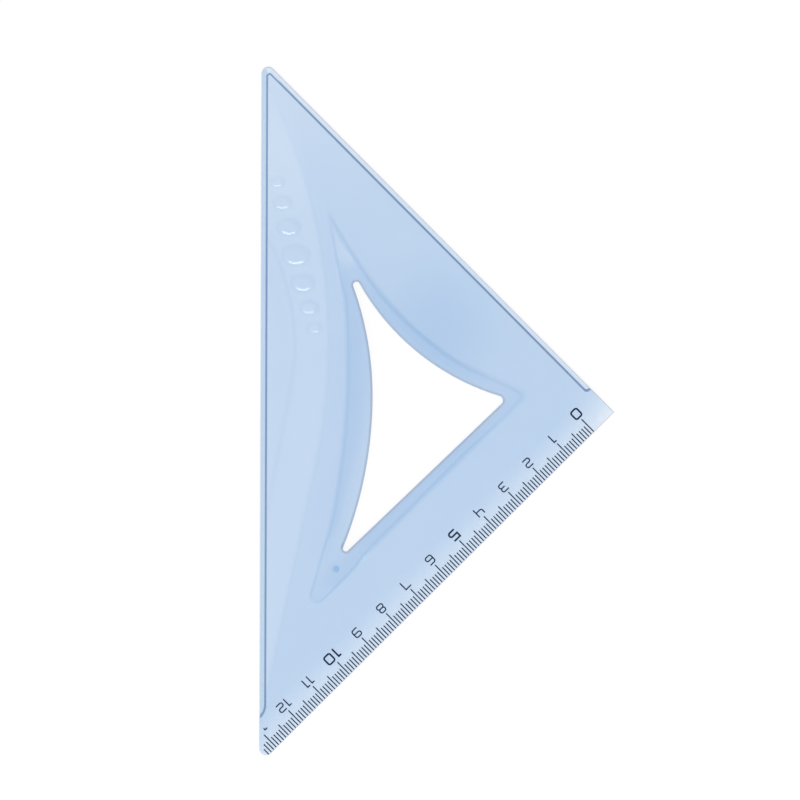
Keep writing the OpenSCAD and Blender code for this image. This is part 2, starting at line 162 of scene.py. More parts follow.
def arc(center, radius, start, stop, shares):
    """Points at shares of the way along an arc between two angles."""
    angles = start + (stop - start) * shares
    return center + radius * np.stack([np.cos(angles), np.sin(angles)], axis=1)


def line(start, stop, shares):
    """Points at shares of the way along a straight line."""
    return start + (stop - start) * shares[:, None]


# Where the points of a ring lie: shares of the way round each corner and along each side.
# Points crowd together at the ends of the two ledges.
tip_reach = (1 + root_two) * tip_radius
plain_length = leg - tip_reach - right_corner_radius
long_length = 2 * (corner_x - long_x - tip_reach)
plain_ledge_stop = leg - tip_reach - ledge_end
long_ledge_start = root_two * ledge_end - tip_reach


def crowded(length, crowd_from, crowd_to, points_before, points_in, points_after):
    """Shares of the way along a side, with points that lie closer together in one stretch of it."""
    return np.concatenate([
        np.linspace(0.0, crowd_from, points_before, endpoint=False),
        np.linspace(crowd_from, crowd_to, points_in, endpoint=False),
        np.linspace(crowd_to, length, points_after, endpoint=False),
    ]) / length


corner_points = 12
scale_side_points = 120
corner_shares = np.linspace(0.0, 1.0, corner_points, endpoint=False)
scale_side_shares = np.linspace(0.0, 1.0, scale_side_points, endpoint=False)
plain_side_shares = crowded(plain_length, crowd_from=plain_ledge_stop - 2.4, crowd_to=plain_ledge_stop + 1.4,
                            points_before=150, points_in=42, points_after=6)
long_side_shares = crowded(long_length, crowd_from=long_ledge_start - 1.3, crowd_to=long_ledge_start + 3.6,
                           points_before=8, points_in=48, points_after=310)


def cutout_ring(out):
    """The cut-out's outline, drawn outwards by a distance."""
    up = heading(upper_center - top_tip)
    left = heading(left_top_center - top_tip) % (2 * math.pi)
    right_up = heading(upper_center - right_tip)
    below = heading(-lower_inward)
    low_left = heading(left_low_center - low_tip)
    right_foot = right_tip - (right_tip_radius + out) * lower_inward
    low_foot = low_tip - (low_tip_radius + out) * lower_inward
    low_angle = heading(low_tip - left_low_center)
    top_angle = heading(top_tip - left_top_center)
    low_length = -low_angle * left_low_radius
    top_length = top_angle * left_top_radius
    way = long_side_shares * (low_length + top_length)
    is_low = way < low_length
    low_shares = way[is_low] / low_length
    top_shares = (way[~is_low] - low_length) / top_length
    return np.concatenate([
        arc(top_tip, top_tip_radius + out, left, up, corner_shares),
        arc(upper_center, upper_radius - out, heading(top_tip - upper_center) % (2 * math.pi),
            heading(right_tip - upper_center) % (2 * math.pi), plain_side_shares),
        arc(right_tip, right_tip_radius + out, right_up, below, corner_shares),
        line(right_foot, low_foot, scale_side_shares),
        arc(low_tip, low_tip_radius + out, below, low_left - 2 * math.pi, corner_shares),
        arc(left_low_center, left_low_radius - out, low_angle, 0.0, low_shares),
        arc(left_top_center, left_top_radius - out, 0.0, top_angle, top_shares),
    ])


end_zone = 7.5


def side(start, stop, shares, start_shift, stop_shift):
    """Points along one side of a ring, square to those on the plate's outline except near the ends."""
    length = start_shift + np.linalg.norm(stop - start) + stop_shift
    along = np.interp(shares * length, [0.0, end_zone, length - end_zone, length],
                      [start_shift, end_zone, length - end_zone, length - stop_shift])
    return line(start, stop, (along - start_shift) / (length - start_shift - stop_shift))


def outer_ring(depth):
    """The plate's outline, drawn inwards by a depth."""
    least_round = 0.25
    tip_round = np.interp(depth, [0.0, plain_ledge, plain_ledge + ledge_corner - least_round],
                          [tip_radius, ledge_corner, least_round])
    tip_shift = (1 + root_two) * (depth + tip_round) - tip_reach
    half_right = math.pi / 4
    top = np.array([long_x + depth + tip_round, long_length / 2 - tip_shift])
    right = np.array([corner_x - root_two * (depth + right_corner_radius), 0.0])
    low = top * [1.0, -1.0]
    top_arc = arc(top, tip_round, math.pi, half_right, corner_shares)
    right_arc = arc(right, right_corner_radius, half_right, -half_right, corner_shares)
    low_arc = arc(low, tip_round, -half_right, -math.pi, corner_shares)
    scale_start = right + right_corner_radius * turned(-half_right)
    return np.concatenate([
        top_arc,
        side(top + tip_round * turned(half_right), right_arc[0], plain_side_shares, tip_shift, depth),
        right_arc,
        side(scale_start, low_arc[0], scale_side_shares, depth, tip_shift),
        low_arc,
        side(low - [tip_round, 0.0], top_arc[0], long_side_shares, tip_shift, tip_shift),
    ])


# The rim round the cut-out: where its foot runs, how high its crest is and how far it takes to fall back
rim_slope = math.tan(math.radians(18.0))
rim_left_width = 8.6
rim_left_y = 13.2
rim_left_radius = 227.0
rim_left_center = np.array([left_crest[0] - rim_left_width - rim_left_radius, rim_left_y])
rim_upper_width = 5.8
rim_upper_along = 64.8
rim_upper_radius = 112.5
rim_upper_center = by_plain_edge(rim_upper_along, upper_depth - rim_upper_width - rim_upper_radius)
rim_lower_width = 5.5
rim_lower_lean = 0.2
rim_lower_middle = by_scale_edge(leg / 2, lower_depth - rim_lower_width)
rim_lower_inward = turned(math.radians(scale_inward + rim_lower_lean))
rim_low_tip = meet_of_line(rim_left_center, rim_left_radius, rim_lower_middle, rim_lower_inward, 1)
rim_low_heading = (rim_low_tip - low_tip) / np.linalg.norm(rim_low_tip - low_tip)
rim_low_radius = 2.8
rim_low_round = meet_of_line(rim_left_center, rim_left_radius + rim_low_radius,
                             rim_lower_middle + rim_low_radius * rim_lower_inward, rim_lower_inward, 1)
rim_heights = {"left": 0.52, "upper": 0.55, "lower": 0.57}
rim_falls = {"left": 8.2, "upper": 6.6, "lower": 9.0}
rim_nose_radius = 3.6
foot_softness = 0.08
crest_softness = 0.1
tip_softness = 0.6


def soft_least(a, b, softness):
    """The lesser of two values, with the change from one to the other eased."""
    near = np.maximum(softness - np.abs(a - b), 0.0) / softness
    return np.minimum(a, b) - near * near * softness / 4


def soft_most(a, b, softness):
    """The greater of two values, with the change from one to the other eased."""
    return -soft_least(-a, -b, softness)


def rounded_least(a, b, radius):
    """The lesser of the distances inside two sides, with the corner between them rounded."""
    corner = radius - np.hypot(np.maximum(radius - a, 0.0), np.maximum(radius - b, 0.0))
    return np.minimum(np.minimum(a, b), corner)


def eased(distance, run):
    """0 before the start of a run, 1 after its end and an S curve between."""
    share = np.clip(distance / run, 0.0, 1.0)
    return share * share * (3 - 2 * share)


# Above the cut-out the rim sinks, its left side steepens, and it runs out at an apex
apex_start = 32.0
apex_run = 16.0
apex_end = 54.0
apex_end_run = 6.0
apex_spread = 0.45
apex_sinking = 0.6
apex_steepening = 2.0
apex_sharpening = 0.8

# Round the cut-out's right tip the rim is wider and lower
right_tip_gap = 1.0
right_tip_run = 18.0
right_tip_upper_spread = 1.4
right_tip_lower_spread = 0.6
right_tip_sinking = 0.45

# The rim's low end is sunk and rounded, and the top of the left side falls more quickly toward it
low_end_length = 8.0
low_end_run = 14.0
low_end_sinking = 0.55
low_end_opening = 0.25
quick_fall_start = 5.0
quick_fall_run = 35.0
quick_fall_share = 0.65


def near_apex(points):
    """0 along most of the rim, and 1 where it runs out above the cut-out."""
    return eased(points[..., 1] - apex_start, apex_run)


def near_right_tip(points):
    """1 round the cut-out's right tip, fading to 0 along the rim."""
    return 1 - eased(np.linalg.norm(points - right_tip, axis=-1) - right_tip_gap, right_tip_run)


def from_rim_feet(points):
    """Distance inside the foot of each side of the rim."""
    left = np.linalg.norm(points - rim_left_center, axis=-1) - rim_left_radius
    upper = np.linalg.norm(points - rim_upper_center, axis=-1) - rim_upper_radius
    lower = (points - rim_lower_middle) @ rim_lower_inward
    return {
        "left": left + apex_spread * near_apex(points),
        "upper": upper + right_tip_upper_spread * near_right_tip(points),
        "lower": lower + right_tip_lower_spread * near_right_tip(points),
    }


def rim_fullness(points):
    """1 along most of the rim, and less at its apex and round the cut-out's right tip."""
    at_apex = eased(points[..., 1] - apex_end, apex_end_run)
    return (1 - at_apex) * (1 - right_tip_sinking * near_right_tip(points))


def before_low_end(points):
    """Distance along the rim before the middle of its rounded low end."""
    return (rim_low_round - points) @ rim_low_heading


def near_low_end(points):
    """1 round the rim's low end, fading to 0 along the rim."""
    return 1 - eased(before_low_end(points) - low_end_length, low_end_run)


def sunk_low_end(points):
    """Share of its height that the rim keeps near its low end."""
    return 1 - low_end_sinking * near_low_end(points)


def from_low_end(points):
    """Distance inside the rounded outline of the rim's low end."""
    away = points - rim_low_round
    reach = np.linalg.norm(away, axis=-1)
    is_round = away @ rim_low_heading > low_end_opening * reach
    return np.where(is_round, rim_low_radius - reach, np.inf)


def rim_sides(points):
    """Height of the rim's outer slopes, and of its top as it falls toward the cut-out."""
    from_foot = from_rim_feet(points)
    narrowing = near_apex(points)
    softness = tip_softness * (1 - apex_sharpening * narrowing)
    slopes = {"left": rim_slope * (1 + apex_steepening * narrowing), "upper": rim_slope, "lower": rim_slope}
    rise = rounded_least(from_foot["upper"], from_foot["lower"], rim_nose_radius) * rim_slope
    rise = soft_least(rise, from_foot["left"] * slopes["left"], softness)
    rise = np.minimum(rise, from_low_end(points) * rim_slope)
    quicker = quick_fall_share * eased(quick_fall_start - points[..., 1], quick_fall_run)
    runs = {**rim_falls, "left": rim_falls["left"] * (1 - quicker)}
    fall = None
    for name, run in runs.items():
        height = rim_heights[name] * (1 - apex_sinking * narrowing) * sunk_low_end(points)
        side_fall = height - (from_foot[name] - height / slopes[name]) * height / run
        fall = side_fall if fall is None else soft_most(fall, side_fall, foot_softness)
    return rise, fall


# Above the cut-out's upper tip a wedge between the two crests is sunk below the plate
wedge_depth = 0.35
wedge_from_left = 0.5
wedge_from_upper = 1.4
wedge_wall = 0.8
wedge_start = 40.0
wedge_run = 6.0


def rim_wedge(points):
    """1 in the sunk wedge between the crests above the cut-out's upper tip, and 0 outside it."""
    from_foot = from_rim_feet(points)
    inside = np.minimum(from_foot["left"] - wedge_from_left, from_foot["upper"] - wedge_from_upper)
    return eased(inside, wedge_wall) * eased(points[..., 1] - wedge_start, wedge_run)


def rim_relief(points):
    """Height of the rim above the plate, which is below 0 in the wedge."""
    rise, fall = rim_sides(points)
    rim = soft_most(soft_least(rise, fall, crest_softness), np.zeros_like(rise), foot_softness)
    return rim * rim_fullness(points) * sunk_low_end(points) - wedge_depth * rim_wedge(points)


crest_least_height = 0.05
crest_height_run = 0.15
crest_apex_fading = 0.4
crest_width = 0.16


def crest_line(points):
    """1 on the rim's crest, fading to 0 beside it, where a dark line of shade is painted."""
    rise, fall = rim_sides(points)
    strength = eased(fall - crest_least_height, crest_height_run) * rim_fullness(points)
    strength = strength * (1 - crest_apex_fading * near_apex(points))
    return strength * np.exp(-((rise - fall) / crest_width) ** 2)


# The grip band: a sunk strip along the long side, slightly raised by that side and deeper toward the far tip.
# Each edge has its greatest gap to the long side, its radius and the lean of its lower run.
grip_crest = 19.0
grip_outer_edge = (19.6, 167.0, math.radians(12.0))
grip_inner_edge = (10.7, 65.0, math.radians(10.6))
grip_depth = 0.3
grip_edge_run = 1.3
grip_tip_start = 50.0
grip_tip_run = 25.0
grip_tip_deepening = 0.75
grip_tip_softening = 1.2
segment_rise = 0.04

# The row of oval nubs on the band: the largest in the middle, and smaller and closer ones toward both ends
nubs_each_way = 3
nub_row_gap = 10.2
nub_row_y = 45.3
nub_row_lean = math.radians(14.4)
nub_spacing = 8.4
nub_spacing_loss = 1.1
nub_size = np.array([8.0, 6.0])
nub_size_loss = np.array([1.3, 1.05])
nub_height = 0.25
nub_height_power = 0.55
nub_top = 0.56
nub_line_width = 0.25


def inside_grip_edge(points, gap, radius, lean):
    """Distance toward the long side from an edge of the band, which is an arc with a straight lower run."""
    center = np.array([long_x + gap - radius, grip_crest])
    away = points - center
    straight = away @ turned(-lean)
    is_arc = np.arctan2(away[..., 1], away[..., 0]) > -lean
    return radius - np.where(is_arc, np.linalg.norm(away, axis=-1), straight)


def from_nubs(points):
    """For each nub, how far points are from its middle, as a share of its reach, and its size."""
    row_middle = np.array([long_x + nub_row_gap, nub_row_y])
    row_way = np.array([-math.sin(nub_row_lean), math.cos(nub_row_lean)])
    for place in range(-nubs_each_way, nubs_each_way + 1):
        count = abs(place)
        run = count * nub_spacing - nub_spacing_loss * count * (count - 1) / 2
        middle = row_middle + math.copysign(run, place) * row_way
        reach = (nub_size - count * nub_size_loss) / 2
        yield np.linalg.norm((points - middle) / reach, axis=-1), 2 * reach[1] / nub_size[1]


def nub_outline(points):
    """1 on the outline of each nub, fading to 0 beside it, where a line of shade is painted."""
    half_breadth = nub_size[1] / 2
    return sum(np.exp(-((off - 1.0) * half_breadth * size / nub_line_width) ** 2)
               for off, size in from_nubs(points))


def grip_edges(points):
    """Distance inside the outer and the inner edge of the band."""
    return inside_grip_edge(points, *grip_outer_edge), inside_grip_edge(points, *grip_inner_edge)


tip_thinning_most = 0.4
tip_thinning_start = 62.0
tip_thinning_run = 38.0


def tip_thinning(points):
    """How much thinner the plate is toward its far tip."""
    return tip_thinning_most * eased(points[..., 1] - tip_thinning_start, tip_thinning_run)


def grip_relief(points):
    """Height of the band's floor and of its nubs against the plate round it."""
    outer, inner = grip_edges(points)
    toward_tip = eased(points[..., 1] - grip_tip_start, grip_tip_run)
    depth = grip_depth * (1 + grip_tip_deepening * toward_tip) - tip_thinning(points)
    outer_run = grip_edge_run * (1 + grip_tip_softening * toward_tip)
    relief = segment_rise * eased(inner + grip_edge_run / 2, grip_edge_run) \
        - depth * eased(outer + outer_run / 2, outer_run)
    nubs = np.zeros(points.shape[:-1])
    for off, size in from_nubs(points):
        height = nub_height * size ** nub_height_power
        nubs = np.maximum(nubs, height * (1 - eased(off - nub_top, 1 - nub_top)))
    return relief + nubs


def depths(points):
    """How far points lie inside the long, the plain and the scale edge."""
    x = points[..., 0]
    y = points[..., 1]
    return x - long_x, (corner_x - x - y) / root_two, (corner_x - x + y) / root_two


def past_ledge(points):
    """Distance past the step, which is below 0 on the ledges."""
    long_depth, plain_depth, scale_depth = depths(points)
    round_x = long_x + long_ledge + ledge_corner
    round_middle = np.array([round_x, corner_x - round_x - root_two * (plain_ledge + ledge_corner)])
    away = points - round_middle
    angle = np.arctan2(away[..., 1], away[..., 0])
    past_step = np.where(angle > math.pi / 4, ledge_corner - np.linalg.norm(away, axis=-1),
                         np.minimum(long_depth - long_ledge, plain_depth - plain_ledge))
    return soft_most(past_step, ledge_end - scale_depth, ledge_end_softness)


# The plate is a little thicker above the cut-out
swell_height = 0.25
swell_middle = np.array([-0.8, 23.4])
swell_reach = 25.0
swell_end_run = 8.0


def swell(points):
    """How much thicker the plate is above the cut-out."""
    from_middle = np.linalg.norm(points - swell_middle, axis=-1)
    above_slope = eased(depths(points)[2] - slope_width, swell_end_run)
    return swell_height * (1 - eased(from_middle, swell_reach)) * above_slope


# The right corner is a little thinner, and the gate is a small round stub beyond the cut-out's low tip
right_corner_thinning = 0.3
right_corner_start = 44.5
right_corner_run = 5.0
slope_softness = 0.05
gate_gap = 6.9
gate_aside = np.array([0.7, -0.1])
gate_place = low_tip + gate_gap * rim_low_heading + gate_aside
gate_height = 0.18
gate_top_radius = 0.5
gate_wall = 0.5


def top_height(points):
    """Height of the plate's upper face at each point."""
    scale_depth = depths(points)[2]
    slope = scale_edge_thickness + scale_depth * (plate_thickness - scale_edge_thickness) / slope_width
    flat = np.full_like(slope, plate_thickness)
    relief = np.maximum(rim_relief(points), swell(points)) + grip_relief(points)
    corner_thinning = right_corner_thinning * eased(points[..., 0] - right_corner_start, right_corner_run)
    face = soft_least(slope, flat, slope_softness) + relief - corner_thinning - tip_thinning(points)
    from_gate = np.linalg.norm(points - gate_place, axis=-1)
    gate = gate_height * (1 - eased(from_gate - gate_top_radius, gate_wall))
    face = np.minimum(face + gate, plate_high[2])
    past_step = past_ledge(points)
    return ledge_thickness + (face - ledge_thickness) * eased(past_step + step_run / 2, step_run)


# Rings from the cut-out's lower edge up its wall, over the top face and down to the plate's lower edge
rings = [(cutout_ring(under_chamfer), 0.0), (cutout_ring(0.0), under_chamfer)]
round_angles = np.radians([0.0, 22.5, 45.0, 67.5, 90.0])
for angle in round_angles:
    points = cutout_ring(top_rounding * (1 - math.cos(angle)))
    rings.append((points, top_height(points) - top_rounding * (1 - math.sin(angle))))
cutout_edge_rings = len(rings)
spread_steps = 66
spread_end = 3.4
ledge_ring_depths = [2.9, 2.5, 2.3, 2.15, 2.0, 1.85, 1.7, 1.55, 1.4, 1.25, 1.0, 0.7, 0.4]
inner = cutout_ring(cutout_edge_width)
outer = outer_ring(spread_end)
for share in np.linspace(0.0, 1.0, spread_steps):
    points = inner + (outer - inner) * share
    rings.append((points, top_height(points)))
for depth in ledge_ring_depths:
    points = outer_ring(depth)
    rings.append((points, top_height(points)))
first_edge_ring = len(rings)
for angle in round_angles[::-1]:
    depth = edge_rounding * (1 - math.cos(angle))
    points = outer_ring(depth)
    rings.append((points, top_height(points) - edge_rounding * (1 - math.sin(angle))))
rings.append((outer_ring(0.0), under_chamfer))
rings.append((outer_ring(under_chamfer), 0.0))


# The mesh starts as the loop of the cut-out's lower edge, and each further ring is drawn out of the last one.
# The last ring meets the first one, which closes the flat underside.
def drawn_out(sheet, loop):
    """Extrude a closed loop of vertices, and give the new loop and the faces between."""
    edges = [edge for vert, following in zip(loop, loop[1:] + loop[:1])
             for edge in vert.link_edges if edge.other_vert(vert) is following]
    grown = bmesh.ops.extrude_edge_only(sheet, edges=edges)["geom"]
    fresh = {item for item in grown if isinstance(item, bmesh.types.BMVert)}
    faces = [item for item in grown if isinstance(item, bmesh.types.BMFace)]
    new_loop = [next(edge.other_vert(vert) for edge in vert.link_edges if edge.other_vert(vert) in fresh)
                for vert in loop]
    return new_loop, faces


def put(loop, points, heights):
    """Move a loop of vertices to points at their heights."""
    heights = np.broadcast_to(heights, len(loop))
    for vert, point, height in zip(loop, points, heights):
        vert.co = (point[0] * MM, point[1] * MM, height * MM)


# The kinds of face are the plate's material slots, in the order in which its materials are added
clear, step_wall, cutout_edge, outer_edge = range(4)
sheet = bmesh.new()
bmesh.ops.create_circle(sheet, segments=len(rings[0][0]), radius=1.0)
loop = list(sheet.verts)
put(loop, *rings[0])
for number, (points, heights) in enumerate(rings[1:] + rings[:1], start=1):
    loop, faces = drawn_out(sheet, loop)
    put(loop, points, heights)
    if number <= cutout_edge_rings:
        kind = cutout_edge
    elif first_edge_ring < number < len(rings):
        kind = outer_edge
    else:
        kind = clear
    for face in faces:
        face.material_index = kind
same_place = 0.0001 * MM
bmesh.ops.remove_doubles(sheet, verts=sheet.verts, dist=same_place)
bmesh.ops.recalc_face_normals(sheet, faces=sheet.faces)

# The nubs need a finer mesh than the rest, and the gate and the flanks of the nubs the finest.
# A zone is given by two shares of a nub's reach, and by the cuts made in each edge there.
finer_zones = ((0.0, 1.15, 2), (0.5, 1.05, 1))
finer_gate_reach = 1.8


def faces_near_marks(nearest, farthest):
    """Faces of the upper side near the gate, and those between two shares of each nub's reach."""
    faces = [face for face in sheet.faces if face.calc_center_median().z > ledge_thickness * MM]
    middles = np.array([face.calc_center_median().xy for face in faces]) / MM
    near = np.linalg.norm(middles - gate_place, axis=1) < finer_gate_reach
    for off, size in from_nubs(middles):
        near |= (off > nearest) & (off < farthest)
    return [face for face, chosen in zip(faces, near) if chosen]


for nearest, farthest, cuts in finer_zones:
    edges = list(dict.fromkeys(edge for face in faces_near_marks(nearest, farthest) for edge in face.edges))
    finer = bmesh.ops.subdivide_edges(sheet, edges=edges, cuts=cuts, use_grid_fill=True)
    fresh = [item for item in finer["geom"] if isinstance(item, bmesh.types.BMVert)]
    heights = top_height(np.array([vert.co.xy for vert in fresh]) / MM)
    for vert, height in zip(fresh, heights):
        vert.co.z = height * MM
for face in sheet.faces:
    face.smooth = face.calc_center_median().z > 0.0

# The wall of the step between the ledges and the plate gets a material of its own, painted dark as the step's
# line of shade
wall_steepness = 0.9
sheet.normal_update()
middles = np.array([face.calc_center_median().xy for face in sheet.faces]) / MM
for face, off in zip(sheet.faces, past_ledge(middles)):
    if face.material_index == clear and abs(off) < step_run / 2 and 0.0 < face.normal.z < wall_steepness:
        face.material_index = step_wall

plate_mesh = bpy.data.meshes.new("clear_plate")
sheet.to_mesh(plate_mesh)
sheet.free()

# How dark each point is: painted shade on the rim, round the nubs and along the band's edges
# The swell, the gate, the ring round the gate and the long ledge are darker too, and a painted glint lightens
# the gate's middle
lowest_shaded = 0.5
rim_shade_height = 0.4
low_end_shade_height = 0.3
low_side_width = 3.5
low_side_gap = 1.0
low_side_run = 6.0
gate_radius = 0.75
gate_blur = 0.6
gate_halo_radius = 4.0
gate_glint = 0.1
gate_glint_radius = 0.7
gate_glint_aside = np.array([-0.35, 0.3])
outer_line_place = -0.35
outer_line_width = 0.35
inner_line_place = 0.75
inner_line_width = 0.4
points = np.array([vert.co for vert in plate_mesh.vertices]) / MM
is_low = points[:, 2] < lowest_shaded
points = points[:, :2]
from_gate = np.linalg.norm(points - gate_place, axis=1)
from_gate_glint = np.linalg.norm(points - gate_place - gate_glint_aside, axis=1)
long_depth, plain_depth, scale_depth = depths(points)
on_ledge = 1 - eased(past_ledge(points) + step_run / 2, step_run)
on_long_ledge = on_ledge * (long_depth < plain_depth)
on_plain_ledge = on_ledge - on_long_ledge
grip_outer, grip_inner = grip_edges(points)
# Painted shade round the rim's low end, and more of it along its lower side before that end
in_low_end = near_low_end(points) * eased(rim_sides(points)[0], low_end_shade_height)
by_lower_side = 1 - eased(from_rim_feet(points)["lower"] - low_side_width, low_side_width)
in_low_side = in_low_end * by_lower_side * eased(before_low_end(points) - low_side_gap, low_side_run)
# Painted shade over the rim's body, and darker over the swell
on_rim = eased(rim_relief(points), rim_shade_height)
on_swell = swell(points) / swell_height
# A painted glint lightens the middle of the gate
in_glint = 1 - eased(from_gate_glint, gate_glint_radius)
on_gate = (1 - eased(from_gate - gate_radius, gate_blur)) * (1 - gate_glint * in_glint)
round_gate = 1 - eased(from_gate, gate_halo_radius)
# Painted lines of shade along the band's outer and inner edges
outer_line = np.exp(-((grip_outer - outer_line_place) / outer_line_width) ** 2)
inner_line = np.exp(-((grip_inner - inner_line_place) / inner_line_width) ** 2)
# The rim's body, crest and low end, the nubs' outlines and the band's lines are painted shade
darkness = np.maximum.reduce([
    0.14 * on_rim + 0.24 * on_swell + 0.1 * in_low_end + 0.2 * in_low_side + 0.3 * crest_line(points),
    on_gate,
    0.45 * round_gate,
    0.6 * on_long_ledge,
    0.2 * nub_outline(points),
    0.12 * outer_line,
    0.16 * inner_line,
])

# How pale each point is: a painted reflection toward the far tip and the right corner, a painted highlight in
# the nubs' middles, and the rim's wedge is palest too; the plain ledge and the grip band are a little paler
# than the rest
pale_tip_start = 36.0
pale_tip_run = 42.0
pale_corner_start = 36.0
pale_corner_run = 12.0
pale_band_run = 1.0
pale_nub_reach = 0.5
pale_nub_run = 0.4
# Painted reflection toward the far tip and the right corner
toward_far_tip = eased(points[:, 1] - pale_tip_start, pale_tip_run)
toward_right_corner = eased(points[:, 0] - pale_corner_start, pale_corner_run)
on_band = eased(grip_outer, pale_band_run)
# A painted highlight in each nub's middle
nub_middles = sum(1 - eased(off - pale_nub_reach, pale_nub_run) for off, size in from_nubs(points))
paleness = np.maximum.reduce([
    toward_far_tip,
    toward_right_corner,
    rim_wedge(points),
    nub_middles,
    0.6 * on_plain_ledge,
    0.3 * on_band,
])
for name, values in {"darkness": darkness, "paleness": paleness}.items():
    values[is_low] = 0.0
    plate_mesh.attributes.new(name, "FLOAT", "POINT").data.foreach_set("value", values)
plate = bpy.data.objects.new("clear_plate", plate_mesh)
scene.collection.objects.link(plate)
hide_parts("triangle_plate")
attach(plate, "root")


# The plastic is clear, and most of its blue comes from the depth of plastic that the light has crossed.
# The melt leaves soft clouds in it and the mould a fine grain, which all its faces share.
# The shared group also lays painted light and painted shade on the colour, from the paleness and darkness
# attributes
finish_and_painted_light = bpy.data.node_groups.new("moulded_finish_and_painted_light", "ShaderNodeTree")
for name in ("Pale", "Cloudy", "Palest", "Dark"):
    finish_and_painted_light.interface.new_socket(name, in_out="INPUT", socket_type="NodeSocketColor")
for name in ("Smoothest", "Roughest"):
    finish_and_painted_light.interface.new_socket(name, in_out="INPUT", socket_type="NodeSocketFloat")
finish_and_painted_light.interface.new_socket("Colour", in_out="OUTPUT", socket_type="NodeSocketColor")
finish_and_painted_light.interface.new_socket("Gloss", in_out="OUTPUT", socket_type="NodeSocketFloat")
finish_and_painted_light.interface.new_socket("Grain", in_out="OUTPUT", socket_type="NodeSocketFloat")
given = finish_and_painted_light.nodes.new("NodeGroupInput")
result = finish_and_painted_light.nodes.new("NodeGroupOutput")
place = finish_and_painted_light.nodes.new("ShaderNodeTexCoord")
clouds = finish_and_painted_light.nodes.new("ShaderNodeTexNoise")
clouds.inputs["Scale"].default_value = 45.0
clouds.inputs["Detail"].default_value = 3.0
finish_and_painted_light.links.new(place.outputs["Object"], clouds.inputs["Vector"])
grain = finish_and_painted_light.nodes.new("ShaderNodeTexNoise")
grain.inputs["Scale"].default_value = 1600.0
grain.inputs["Detail"].default_value = 4.0
finish_and_painted_light.links.new(place.outputs["Object"], grain.inputs["Vector"])
finish_and_painted_light.links.new(grain.outputs["Fac"], result.inputs["Grain"])
gloss = finish_and_painted_light.nodes.new("ShaderNodeMapRange")
finish_and_painted_light.links.new(given.outputs["Smoothest"], gloss.inputs["To Min"])
finish_and_painted_light.links.new(given.outputs["Roughest"], gloss.inputs["To Max"])
finish_and_painted_light.links.new(grain.outputs["Fac"], gloss.inputs["Value"])
finish_and_painted_light.links.new(gloss.outputs["Result"], result.inputs["Gloss"])


def mixed(tree, factor, first, second):
    """Mix two colour outputs by a factor, and give the mixed output."""
    mix = tree.nodes.new("ShaderNodeMix")
    mix.data_type = "RGBA"
    tree.links.new(factor, mix.inputs["Factor"])
    tree.links.new(first, mix.inputs["A"])
    tree.links.new(second, mix.inputs["B"])
    return mix.outputs["Result"]


colour = mixed(finish_and_painted_light, clouds.outputs["Fac"], given.outputs["Pale"], given.outputs["Cloudy"])
# Paleness mixes in painted light and highlights; darkness mixes in painted shade and the darker marks
for name, toward_colour in {"paleness": "Palest", "darkness": "Dark"}.items():
    amount = finish_and_painted_light.nodes.new("ShaderNodeAttribute")
    amount.attribute_name = name
    colour = mixed(finish_and_painted_light, amount.outputs["Fac"], colour, given.outputs[toward_colour])
finish_and_painted_light.links.new(colour, result.inputs["Colour"])


def moulded_plastic(name, clearness, smoothest, roughest, **colours):
    """Add a material of the plate, with the shared colours, grain, and painted light and shade."""
    material = bpy.data.materials.new(name)
    material.use_nodes = True
    tree = material.node_tree
    surface = tree.nodes["Principled BSDF"]
    surface.inputs["IOR"].default_value = 1.5
    surface.inputs["Transmission Weight"].default_value = clearness
    moulded = tree.nodes.new("ShaderNodeGroup")
    moulded.node_tree = finish_and_painted_light
    for socket, colour in colours.items():
        moulded.inputs[socket].default_value = (*colour, 1.0)
    moulded.inputs["Smoothest"].default_value = smoothest
    moulded.inputs["Roughest"].default_value = roughest
    tree.links.new(moulded.outputs["Colour"], surface.inputs["Base Color"])
    tree.links.new(moulded.outputs["Gloss"], surface.inputs["Roughness"])
    bump = tree.nodes.new("ShaderNodeBump")
    bump.inputs["Strength"].default_value = 0.12
    bump.inputs["Distance"].default_value = 0.02 * MM
    tree.links.new(moulded.outputs["Grain"], bump.inputs["Height"])
    tree.links.new(bump.outputs["Normal"], surface.inputs["Normal"])
    depth_tint = tree.nodes.new("ShaderNodeVolumeAbsorption")
    depth_tint.inputs["Color"].default_value = (0.146, 0.489, 0.824, 1.0)
    depth_tint.inputs["Density"].default_value = 364.0
    tree.links.new(depth_tint.outputs["Volume"], tree.nodes["Material Output"].inputs["Volume"])
    plate_mesh.materials.append(material)


# Its Palest colour is that of painted light, and its Dark colour that of painted shade and the darker marks
moulded_plastic("clear_blue_plastic", clearness=0.88, smoothest=0.1, roughest=0.2,
                Pale=(0.95, 0.97, 0.99), Cloudy=(0.89, 0.94, 0.98),
                Palest=(1.0, 1.0, 1.0), Dark=(0.45, 0.65, 0.83))
# The step wall's dark colours are painted shade along the step
moulded_plastic("step_wall", clearness=0.85, smoothest=0.15, roughest=0.3,
                Pale=(0.2, 0.28, 0.45), Cloudy=(0.17, 0.24, 0.41),
                Palest=(0.2, 0.28, 0.45), Dark=(0.17, 0.24, 0.43))
# The cut-out's edge is painted darker, as a line of shade round the cut-out
moulded_plastic("cutout_edge", clearness=0.7, smoothest=0.45, roughest=0.6,
                Pale=(0.52, 0.59, 0.67), Cloudy=(0.47, 0.54, 0.63),
                Palest=(0.52, 0.59, 0.67), Dark=(0.47, 0.54, 0.63))
# The outer edge is painted grey, as a line of shade round the outline
moulded_plastic("outer_edge", clearness=0.6, smoothest=0.3, roughest=0.5,
                Pale=(0.65, 0.7, 0.8), Cloudy=(0.59, 0.64, 0.75),
                Palest=(0.58, 0.58, 0.68), Dark=(0.77, 0.73, 0.77))


